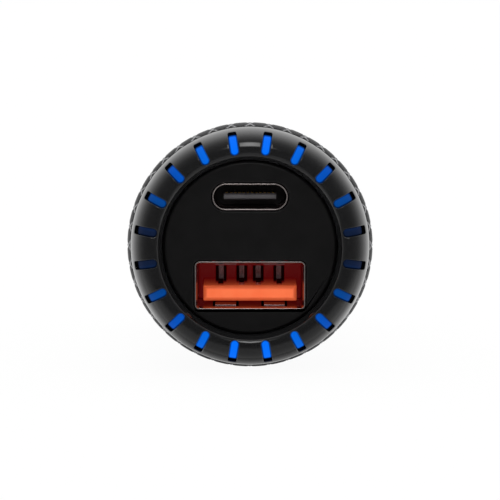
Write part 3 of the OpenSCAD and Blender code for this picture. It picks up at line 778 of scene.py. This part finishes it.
@dataclass
class Bezel:
    """Polished domed ring with a rounded slot for each tooth of the light guide.

    Heights are measured from the seam. The slots run from slot_in to slot_out, with small
    corners at their outer ends and an eased edge. Under is the underside as (radius, height)
    from the bore to the rim. Rim_n and lip_n are points of half a sector along the rim and
    the lip, and slot_n those along half a slot: outer end, corner, side and round inner end.
    """

    rim_r: float = 14.25
    crest_r: float = 11.5
    height: float = 3.9
    power: float = 2.3
    lip_r: float = 10.85
    lip_drop: float = 0.3
    lip_ease: float = 0.08
    bore_r: float = 10.4
    bore_top: float = 2.6
    slot_w: float = 1.05
    slot_in: float = 11.1
    slot_out: float = 13.8
    corner: float = 0.2
    edge: float = 0.1
    edge_shares: tuple[float, ...] = (0.0, 0.12, 0.32, 0.6, 1.0)
    under: tuple[tuple[float, float], ...] = (
        (10.4, 1.1),
        (11.2, 1.1),
        (11.35, 2.1),
        (12.9, 2.1),
        (13.95, 0.0),
    )
    skirt: tuple[float, float] = (12.4, 12.9)
    skirt_l: float = 2.5
    skirt_top: float = 2.05
    skirt_gap: float = 0.02
    skirt_n: int = 9
    dome_n: int = 400
    rim_n: int = 7
    lip_n: int = 9
    wall_n: int = 7
    top_n: int = 12
    slot_n: tuple[int, int, int, int] = (4, 6, 24, 13)

    def dome(self) -> Section:
        """Returns the section from the rim over the crest to the lip.

        The outside is a superellipse quarter and the lip an ellipse quarter.
        """
        turn = np.linspace(0, math.pi / 2, self.dome_n)[:, None]
        cos, sin = np.clip(np.cos(turn), 0, 1), np.clip(np.sin(turn), 0, 1)
        reach = self.rim_r - self.crest_r
        outer = np.concatenate(
            [
                self.crest_r + reach * cos ** (2 / self.power),
                self.height * sin ** (2 / self.power),
            ],
            axis=1,
        )
        fall = self.crest_r - self.lip_r
        inner = np.concatenate(
            [
                self.crest_r - fall * sin,
                self.height - self.lip_drop + self.lip_drop * cos,
            ],
            axis=1,
        )
        return Section(np.concatenate([outer, inner[1:]]))

    def outline(self, offset: float) -> tuple[np.ndarray, np.ndarray]:
        """Gives half of a slot's outline from its outer middle to its inner middle.

        The outer end is square with small round corners and the inner end is a half circle;
        an offset grows both by the same amount.

        Args:
            offset: Distance outside the slot's edge, mm.

        Returns:
            Places along the slot and across it.
        """
        half = self.slot_w / 2
        end_n, corner_n, side_n, round_n = self.slot_n
        end = np.arange(end_n) / end_n
        turn = np.arange(corner_n) / corner_n * math.pi / 2
        side = np.arange(side_n) / side_n
        arc = np.linspace(math.pi / 2, math.pi, round_n)
        inner = self.slot_in + half
        outer = self.slot_out - self.corner
        along = np.concatenate(
            [
                np.full(end_n, self.slot_out + offset),
                outer + (self.corner + offset) * np.cos(turn),
                outer + (inner - outer) * side,
                inner + (half + offset) * np.cos(arc),
            ]
        )
        across = np.concatenate(
            [
                (half - self.corner) * end,
                half - self.corner + (self.corner + offset) * np.sin(turn),
                np.full(side_n, half + offset),
                (half + offset) * np.sin(arc),
            ]
        )
        return along, across

    def whole(self, half: np.ndarray, mirrored: bool = False) -> np.ndarray:
        """Closes half an outline with its mirror image along the last axis."""
        back = half[..., -2:0:-1]
        return np.concatenate([half, -back if mirrored else back], axis=-1)

    def build(self) -> bpy.types.Object:
        """Makes the ring, sector by sector, as one closed shell.

        Returns:
            The bezel.
        """
        dome = self.dome()
        stack = np.stack(self.loops(dome))
        radius = self.whole(stack[:, 0])
        angle = self.whole(stack[:, 1], mirrored=True)
        height = self.whole(stack[:, 2])
        skin = Skin()
        for centre in SLOT_ANGLES:
            skin.sheet(polar(radius, angle + centre, height + SEAM_Z), wrap=True)
        self.close(skin, dome)
        self.skirting(skin)
        return skin.build("bezel_polished", sharp_deg=35)

    def loops(self, dome: Section) -> list[np.ndarray]:
        """Works out half of each loop round a slot.

        The loops start at the sector's edge on the underside, go in to the slot's wall, over
        its rounded edge and back out to the sector's edge, spaced by the dome's arc length.

        Args:
            dome: Section of the upper side.

        Returns:
            Loops of radii, angles and heights.
        """
        side_n = sum(self.slot_n) - self.rim_n - self.lip_n + 2
        edge_angle = np.concatenate(
            [
                np.linspace(0, HALF_TURN, self.rim_n),
                np.full(side_n - 2, HALF_TURN),
                np.linspace(HALF_TURN, 0, self.lip_n),
            ]
        )
        length = dome.arc()[-1]
        edge_place = np.concatenate(
            [
                np.zeros(self.rim_n),
                np.linspace(0, length, side_n)[1:-1],
                np.full(self.lip_n, length),
            ]
        )
        under_r, under_z = np.array(self.under).T
        under_edge = np.interp(edge_place, [0, length], [under_r[-1], under_r[0]])
        along, across = self.outline(0.0)
        wall_r, wall_a = np.hypot(along, across), np.arctan2(across, along)
        loops = []
        for share in np.linspace(1, 0, self.wall_n):
            radius = wall_r + (under_edge - wall_r) * share
            angle = wall_a + (edge_angle - wall_a) * share
            loops.append(np.stack([radius, angle, np.interp(radius, under_r, under_z)]))
        for share in self.edge_shares:
            offset = self.edge * share
            along, across = self.outline(offset)
            radius, angle = np.hypot(along, across), np.arctan2(across, along)
            drop = self.edge - math.sqrt(self.edge**2 - (self.edge - offset) ** 2)
            loops.append(np.stack([radius, angle, dome.height_of(radius) - drop]))
        start = dome.place_of(radius)
        for share in np.linspace(0, 1, self.top_n + 1)[1:]:
            on_dome = dome.at(start + (edge_place - start) * share)
            loops.append(np.stack([on_dome[0], angle + (edge_angle - angle) * share, on_dome[1]]))
        return loops

    def close(self, skin: Skin, dome: Section) -> None:
        """Joins the upper side to the underside along the rim and down the inner slope.

        Args:
            skin: Shell that takes the strips.
            dome: Section of the upper side.
        """
        lip_z = dome.points[-1, 1]
        ease = self.lip_ease
        rim = np.array([[self.rim_r, 0.0], self.under[-1]])
        slope = np.array(
            [
                [self.lip_r, lip_z],
                [self.lip_r - ease / 2, lip_z - ease],
                [self.bore_r + ease, self.bore_top + 1.5 * ease],
                [self.bore_r, self.bore_top],
                self.under[0],
            ]
        )
        for strip, count in ((rim, self.rim_n), (slope, self.lip_n)):
            across = np.linspace(-HALF_TURN, HALF_TURN, 2 * count - 1)[:-1]
            angle = (SLOT_ANGLES[:, None] + across[None, :]).reshape(1, -1)
            skin.sheet(polar(strip[:, :1], angle, strip[:, 1:] + SEAM_Z), wrap=True)

    def skirting(self, skin: Skin) -> None:
        """Adds the skirt that goes down into the housing, as a block between each two slots.

        Args:
            skin: Shell that takes the blocks.
        """
        inner, outer = self.skirt
        gap = (self.slot_w / 2 + self.skirt_gap) / inner
        turn = np.linspace(gap, 2 * HALF_TURN - gap, self.skirt_n)
        low, high = SEAM_Z - self.skirt_l, SEAM_Z + self.skirt_top
        ring = np.array([[inner, low], [inner, high], [outer, high], [outer, low], [inner, low]])
        for centre in SLOT_ANGLES:
            block = polar(ring[:, :1], (turn + centre)[None, :], ring[:, 1:])
            skin.sheet(block)
            for end in (0, -1):
                lid = block[[0, 1, 3, 2], end]
                skin.sheet(lid.reshape(2, 2, 3))


@dataclass
class LightGuide:
    """Clear ring with a tooth for each slot of the bezel.

    The teeth stay sink below the dome, leave a gap to the slot's walls and end short of its
    outer end. Their tops are lit from glow_in inside their walls on, and their edges as
    edge_marks say, below and above. Ring is the ring's inner and outer radius and its lowest
    and highest level. Foot and the levels are measured from the seam.
    """

    shape: Bezel
    sink: float = 0.6
    gap: float = 0.04
    short: float = 0.38
    corner: float = 0.24
    edge: float = 0.07
    edge_n: int = 5
    edge_marks: tuple[float, float] = (0.25, 0.4)
    glow_in: float = 0.13
    foot: float = 1.2
    ring: tuple[float, float, float, float] = (11.35, 12.35, -2.15, 2.05)
    ring_n: int = 240

    def build(self) -> bpy.types.Object:
        """Makes the teeth, each a closed block with rounded top edges, and the ring.

        Returns:
            The light guide.
        """
        slot = replace(
            self.shape, slot_out=self.shape.slot_out - self.short, corner=self.corner
        )
        along, across, height, lit = self.tooth(slot)
        radius, around = np.hypot(along, across), np.arctan2(across, along)
        skin = Skin()
        for centre in SLOT_ANGLES:
            block = polar(radius, around + centre, height + SEAM_Z)
            middle = polar(along[0], centre, height[0] + SEAM_Z)
            skin.sheet(block, wrap=True, mark=lit)
            skin.sheet(np.stack([middle, block[0]]), wrap=True)
        inner, outer, bottom, head = self.ring
        section = np.array(
            [[inner, bottom], [outer, bottom], [outer, head], [inner, head], [inner, bottom]]
        )
        section[:, 1] += SEAM_Z
        skin.sheet(turned(section, self.ring_n), wrap=True)
        return skin.build("light_guide_moulded", sharp_deg=40)

    def tooth(self, slot: Bezel) -> tuple[np.ndarray, ...]:
        """Works out a tooth's loops from its foot up the wall and over its top.

        A loop is the slot's outline, drawn in by a share of the way to the tooth's middle
        line: none on the wall, a quarter circle's over the edge, and all of it at the last.

        Args:
            slot: Bezel whose slots have the tooth's length and corners.

        Returns:
            Places along the tooth and across it, heights, and marks that say how lit it is.
        """
        half_w = slot.slot_w / 2
        reach = half_w - self.gap
        along, across = slot.outline(-self.gap)
        middle = np.clip(along, slot.slot_in + half_w, slot.slot_out - half_w)
        turn = np.linspace(0, math.pi / 2, self.edge_n)
        drawn_in = self.edge * (1 - np.cos(turn)) / reach
        share = np.array([0.0, *drawn_in, self.glow_in / reach, 0.75, 1.0])[:, None]
        drop = np.array([0.0, *(self.edge * (1 - np.sin(turn))), 0.0, 0.0, 0.0])[:, None]
        lit = np.array([0.0, *np.where(turn < 1, *self.edge_marks), 1.0, 1.0, 1.0])[:, None]
        place = along + (middle - along) * share
        side = across * (1 - share)
        height = self.shape.dome().height_of(np.hypot(place, side)) - self.sink - drop
        height[0] = self.foot
        place, height, lit = slot.whole(np.stack([place, height, lit + 0 * place]))
        return place, slot.whole(side, mirrored=True), height, lit


@dataclass
class EasedCopy:
    """A CAD node's own shape with smooth curves and rounded edges.

    Edges sharper than sharp_deg are rounded by edge_mm. A sheet that is folded into a port's
    shell also gets a lead-in, mouth_mm wide and lead times as deep again. Points nearer than
    same_mm are made one, as the port shells have edges of 0.002 mm that would stop a bevel.
    """

    node: str
    edge_mm: float = 0.08
    mouth_mm: float = 0.0
    lead: float = 2.5
    sharp_deg: float = 23.0
    flat_deg: float = 1.0
    same_mm: float = 0.005

    def build(self) -> bpy.types.Object:
        """Copies and merges the node's mesh, clears flat seams and rounds its edges.

        Returns:
            The new piece.
        """
        mesh = frame["nodes"][self.node].data.copy()
        shell = bmesh.new()
        shell.from_mesh(mesh)
        bmesh.ops.remove_doubles(shell, verts=shell.verts, dist=self.same_mm * MM)
        bmesh.ops.dissolve_limit(
            shell,
            angle_limit=math.radians(self.flat_deg),
            verts=shell.verts,
            edges=shell.edges,
        )
        if self.mouth_mm:
            self.open_mouth(shell)
        shell.to_mesh(mesh)
        shell.free()
        mesh.shade_smooth()
        mesh.set_sharp_from_angle(angle=math.radians(self.sharp_deg))
        piece = bpy.data.objects.new(f"{self.node}_finished", mesh)
        bpy.context.scene.collection.objects.link(piece)
        ease = piece.modifiers.new("edges", "BEVEL")
        ease.width = self.edge_mm * MM
        ease.segments = 2
        ease.limit_method = "ANGLE"
        ease.angle_limit = math.radians(self.sharp_deg)
        ease.harden_normals = True
        return piece

    def open_mouth(self, shell: bmesh.types.BMesh) -> None:
        """Cuts the lead-in along the inner edge of the sheet's front.

        The edge is bevelled evenly, and the bevel's lower points are then moved further in.

        Args:
            shell: Mesh of a tube whose opening looks along -Y.
        """
        front = min(vert.co.y for vert in shell.verts)
        heights = [vert.co.z for vert in shell.verts]
        middle = Vector((0.0, front, (min(heights) + max(heights)) / 2))
        same = self.same_mm * MM
        inner = []
        for edge in shell.edges:
            level = all(abs(vert.co.y - front) < same for vert in edge.verts)
            walls = [face for face in edge.link_faces if abs(face.normal.y) < 0.5]
            if level and len(walls) == 1 and len(edge.link_faces) == 2:
                centre = (edge.verts[0].co + edge.verts[1].co) / 2
                if walls[0].normal.dot(middle - centre) > 0:
                    inner.append(edge)
        bmesh.ops.bevel(
            shell,
            geom=inner,
            offset=self.mouth_mm * MM,
            offset_type="OFFSET",
            segments=1,
            profile=0.5,
            affect="EDGES",
            clamp_overlap=True,
        )
        for vert in shell.verts:
            if abs(vert.co.y - front - self.mouth_mm * MM) < same / 2:
                vert.co.y += self.lead * self.mouth_mm * MM


@dataclass
class Studio:
    """White ground, soft light and the camera of the photograph.

    Lengths are in metres. The camera looks at the axis at aim_y, and shift_y moves the picture
    so that the object lies as in the photograph. Floor_white is the share of the floor's own
    glow that the camera sees. Front_light gives the strength of the light by its angle from
    the camera's side, in degrees. Overhead, under, low_front and strip are strengths of what
    is added to it. A field that ends in _span holds the coordinates of a direction between
    which such a part fades in. Behind is the share of the overhead band left at the back, and
    strip_z the height of the narrow box's middle.
    """

    distance: float = 0.365
    elevation_deg: float = 5.5
    aim_y: float = -0.0225
    lens: float = 221.0
    sensor: float = 36.0
    shift_y: float = -0.0076
    floor_z: float = -0.0148
    floor_half: float = 3.0
    floor_white: float = 0.95
    front_light: tuple[tuple[float, float], ...] = (
        (0, 0.1),
        (32, 0.15),
        (50, 0.25),
        (66, 0.42),
        (84, 0.86),
        (102, 1.36),
        (120, 1.66),
        (138, 1.68),
        (158, 1.15),
        (180, 1.0),
    )
    overhead: float = 0.45
    overhead_span: tuple[float, float] = (0.72, 0.98)
    away_span: tuple[float, float] = (0.15, 0.5)
    ahead_span: tuple[float, float] = (0.3, 0.75)
    behind: float = 0.3
    under: float = 0.35
    under_span: tuple[float, float] = (-0.95, -0.6)
    low_front: float = 0.38
    low_span: tuple[float, float] = (-0.2, -0.5)
    strip: float = 5.2
    strip_x_span: tuple[float, float] = (0.145, 0.0)
    strip_z: float = 0.5
    strip_z_span: tuple[float, float] = (0.24, 0.1)

    def build(self) -> None:
        """Sets the camera, the floor and the world."""
        self.camera()
        self.ground()
        self.world()
        bpy.context.scene.view_settings.view_transform = "Standard"

    def camera(self) -> None:
        """Places the camera a little above the axis, looking at the face."""
        data = bpy.data.cameras.new("camera")
        data.lens = self.lens
        data.sensor_width = self.sensor
        data.shift_y = self.shift_y
        camera = bpy.data.objects.new("camera", data)
        bpy.context.scene.collection.objects.link(camera)
        tilt = math.radians(self.elevation_deg)
        back = Vector((0.0, -math.cos(tilt), math.sin(tilt)))
        camera.location = Vector((0.0, self.aim_y, 0.0)) + back * self.distance
        camera.rotation_mode = "QUATERNION"
        camera.rotation_quaternion = (-back).to_track_quat("-Z", "Y")
        data.clip_start, data.clip_end = 0.01, 10.0
        bpy.context.scene.camera = camera

    def ground(self) -> None:
        """Lays a white floor that keeps the object's shadow.

        The camera sees it as nearly all glow and only a little lit, so the shadow is faint.
        Reflections pass through it to the world, which is as white.
        """
        half = self.floor_half
        mesh = bpy.data.meshes.new("floor")
        corners = [(-half, -half), (half, -half), (half, half), (-half, half)]
        mesh.from_pydata([(x, y, self.floor_z) for x, y in corners], [], [(0, 1, 2, 3)])
        floor = bpy.data.objects.new("floor", mesh)
        bpy.context.scene.collection.objects.link(floor)
        material = bpy.data.materials.new("white_floor")
        material.use_nodes = True
        tree = material.node_tree
        tree.nodes.clear()
        rays = add(tree, "LightPath")
        seen = add(
            tree,
            "Math",
            {0: rays.outputs["Is Camera Ray"], 1: self.floor_white},
            operation="MULTIPLY",
        ).outputs[0]
        white = add(tree, "Emission", {"Color": (1, 1, 1, 1), "Strength": 1.0}).outputs[0]
        matt = add(tree, "BsdfDiffuse", {"Color": (0.9, 0.9, 0.9, 1)}).outputs[0]
        lit = add(tree, "MixShader", {0: seen, 1: matt, 2: white}).outputs[0]
        clear = add(tree, "BsdfTransparent").outputs[0]
        mixed = add(
            tree, "MixShader", {0: rays.outputs["Is Glossy Ray"], 1: lit, 2: clear}
        ).outputs[0]
        add(tree, "OutputMaterial", {"Surface": mixed})
        mesh.materials.append(material)

    def world(self) -> None:
        """Makes the surroundings white to the eye and a ring of soft boxes to the surfaces.

        A direction's light is the front light times one plus the bands, plus the boxes.
        """
        world = bpy.data.worlds.new("studio")
        bpy.context.scene.world = world
        world.use_nodes = True
        tree = world.node_tree
        tree.nodes.clear()
        ray = add(tree, "TexCoord").outputs["Generated"]
        parts = add(tree, "SeparateXYZ", {"Vector": ray}).outputs
        ring = self.ring(tree, parts)
        bands = self.bands(tree, ray, parts)
        boxes = self.boxes(tree, parts)
        gain = add(tree, "Math", {0: bands, 1: 1.0}, operation="ADD").outputs[0]
        level = add(tree, "Math", {0: ring, 1: gain}, operation="MULTIPLY").outputs[0]
        level = add(tree, "Math", {0: level, 1: boxes}, operation="ADD").outputs[0]
        seen = add(tree, "LightPath").outputs["Is Camera Ray"]
        strength = add(tree, "Mix", {0: seen, 2: level, 3: 1.0}).outputs[0]
        back = add(tree, "Background", {"Color": (1, 1, 1, 1), "Strength": strength}).outputs[0]
        add(tree, "OutputWorld", {"Surface": back})

    def ring(
        self, tree: bpy.types.NodeTree, parts: bpy.types.bpy_prop_collection
    ) -> bpy.types.NodeSocket:
        """Gives the front light: dim in front, strongest a little behind the face's plane.

        The ramp runs over (1 - cos of the angle) / 2. Its colours hold half the strengths, as a
        ramp's colours end at 1, and they are doubled behind it.

        Args:
            tree: Node tree of the world.
            parts: X, Y and Z of a direction.

        Returns:
            Socket of the strength.
        """
        front = add(
            tree, "MapRange", {"Value": parts["Y"], "From Min": -1.0, "From Max": 1.0}
        ).outputs[0]
        ramp = add(tree, "ValToRGB", {"Fac": front})
        ramp.color_ramp.interpolation = "B_SPLINE"
        stops = ramp.color_ramp.elements
        stops[0].position, stops[1].position = 0.0, 1.0
        for angle, _ in self.front_light[1:-1]:
            stops.new((1 - math.cos(math.radians(angle))) / 2)
        for stop, (_, strength) in zip(stops, self.front_light):
            stop.color = (strength / 2, strength / 2, strength / 2, 1)
        return add(
            tree, "Math", {0: ramp.outputs["Color"], 1: 2.0}, operation="MULTIPLY"
        ).outputs[0]

    def bands(
        self,
        tree: bpy.types.NodeTree,
        ray: bpy.types.NodeSocket,
        parts: bpy.types.bpy_prop_collection,
    ) -> bpy.types.NodeSocket:
        """Gives the gain of a bright band overhead and of a dim one underneath.

        Args:
            tree: Node tree of the world.
            ray: A direction.
            parts: X, Y and Z of the direction.

        Returns:
            Socket of the gain, 0 where neither band is.
        """
        across = add(
            tree, "VectorMath", {0: ray, 1: (1.0, 0.0, 1.0)}, operation="MULTIPLY"
        ).outputs[0]
        spread = add(tree, "VectorMath", {0: across}, operation="LENGTH").outputs["Value"]
        unit = add(tree, "VectorMath", {0: across}, operation="NORMALIZE").outputs[0]
        upward = add(tree, "SeparateXYZ", {"Vector": unit}).outputs["Z"]
        low, high = self.overhead_span
        overhead = add(
            tree,
            "MapRange",
            {"Value": upward, "From Min": low, "From Max": high, "To Max": self.overhead},
            interpolation_type="SMOOTHSTEP",
        ).outputs[0]
        low, high = self.away_span
        away = add(
            tree,
            "MapRange",
            {"Value": spread, "From Min": low, "From Max": high},
            interpolation_type="SMOOTHSTEP",
        ).outputs[0]
        low, high = self.ahead_span
        ahead = add(
            tree,
            "MapRange",
            {
                "Value": parts["Y"],
                "From Min": low,
                "From Max": high,
                "To Min": 1.0,
                "To Max": self.behind,
            },
        ).outputs[0]
        low, high = self.under_span
        under = add(
            tree,
            "MapRange",
            {
                "Value": upward,
                "From Min": low,
                "From Max": high,
                "To Min": self.under - 1.0,
                "To Max": 0.0,
            },
            interpolation_type="SMOOTHSTEP",
        ).outputs[0]
        top = add(tree, "Math", {0: overhead, 1: ahead}, operation="MULTIPLY").outputs[0]
        both = add(tree, "Math", {0: top, 1: under}, operation="ADD").outputs[0]
        return add(tree, "Math", {0: both, 1: away}, operation="MULTIPLY").outputs[0]

    def boxes(
        self, tree: bpy.types.NodeTree, parts: bpy.types.bpy_prop_collection
    ) -> bpy.types.NodeSocket:
        """Gives a narrow box high in front, which makes the bar of light, and a low broad one.

        Args:
            tree: Node tree of the world.
            parts: X, Y and Z of a direction.

        Returns:
            Socket of the added strength.
        """
        sideways = add(tree, "Math", {0: parts["X"]}, operation="ABSOLUTE").outputs[0]
        low, high = self.strip_x_span
        narrow = add(
            tree,
            "MapRange",
            {"Value": sideways, "From Min": low, "From Max": high, "To Max": self.strip},
            interpolation_type="SMOOTHSTEP",
        ).outputs[0]
        raised = add(
            tree, "Math", {0: parts["Z"], 1: self.strip_z}, operation="SUBTRACT"
        ).outputs[0]
        raised = add(tree, "Math", {0: raised}, operation="ABSOLUTE").outputs[0]
        low, high = self.strip_z_span
        tall = add(
            tree,
            "MapRange",
            {"Value": raised, "From Min": low, "From Max": high},
            interpolation_type="SMOOTHSTEP",
        ).outputs[0]
        strip = add(tree, "Math", {0: narrow, 1: tall}, operation="MULTIPLY").outputs[0]
        low, high = self.low_span
        floor = add(
            tree,
            "MapRange",
            {"Value": parts["Z"], "From Min": low, "From Max": high, "To Max": self.low_front},
            interpolation_type="SMOOTHSTEP",
        ).outputs[0]
        facing = add(tree, "Math", {0: parts["Y"], 1: 0.0}, operation="LESS_THAN").outputs[0]
        both = add(tree, "Math", {0: strip, 1: floor}, operation="ADD").outputs[0]
        return add(tree, "Math", {0: both, 1: facing}, operation="MULTIPLY").outputs[0]


def shorten(spring: bpy.types.Object) -> None:
    """Gives the tip's spring its own copy of its mesh.

    Args:
        spring: The spring, as long as it is with the tip out.
    """
    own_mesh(spring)


def main() -> None:
    """Builds every piece in order."""
    logging.basicConfig(level=logging.INFO, format="%(message)s")
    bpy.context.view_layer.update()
    Studio().build()
    wardrobe = Wardrobe()
    bezel = Bezel()
    makers = (
        (GripSleeve(), "grip_sleeve"),
        (bezel, "bezel"),
        (LightGuide(bezel), "light_guide"),
    )
    for maker, node in makers:
        piece = maker.build()
        wardrobe.dress(piece, node)
        LOG.info("%s: %d faces", piece.name, len(piece.data.polygons))
    copies = (
        EasedCopy("face_plate", 0.2),
        EasedCopy("plug_barrel", 0.08),
        EasedCopy("nose_ring", 0.08),
        EasedCopy("tip_contact", 0.08),
        EasedCopy("tip_spring", 0.03, sharp_deg=60.0),
        EasedCopy("ground_contact_left", 0.04),
        EasedCopy("ground_contact_right", 0.04),
        EasedCopy("usb_a_shell", 0.04, mouth_mm=0.17),
        EasedCopy("usb_c_shell", 0.04, mouth_mm=0.17),
        EasedCopy("usb_a_insulator", 0.12),
    )
    for maker in copies:
        piece = maker.build()
        wardrobe.dress(piece, maker.node)
        if maker.node == "tip_spring":
            shorten(piece)
        LOG.info("%s: %d faces", piece.name, len(piece.data.polygons))
    for node, obj in frame["nodes"].items():
        obj.data.materials.clear()
        obj.data.materials.append(wardrobe.of(slot_of(node)))


if __name__ == "__main__":
    main()
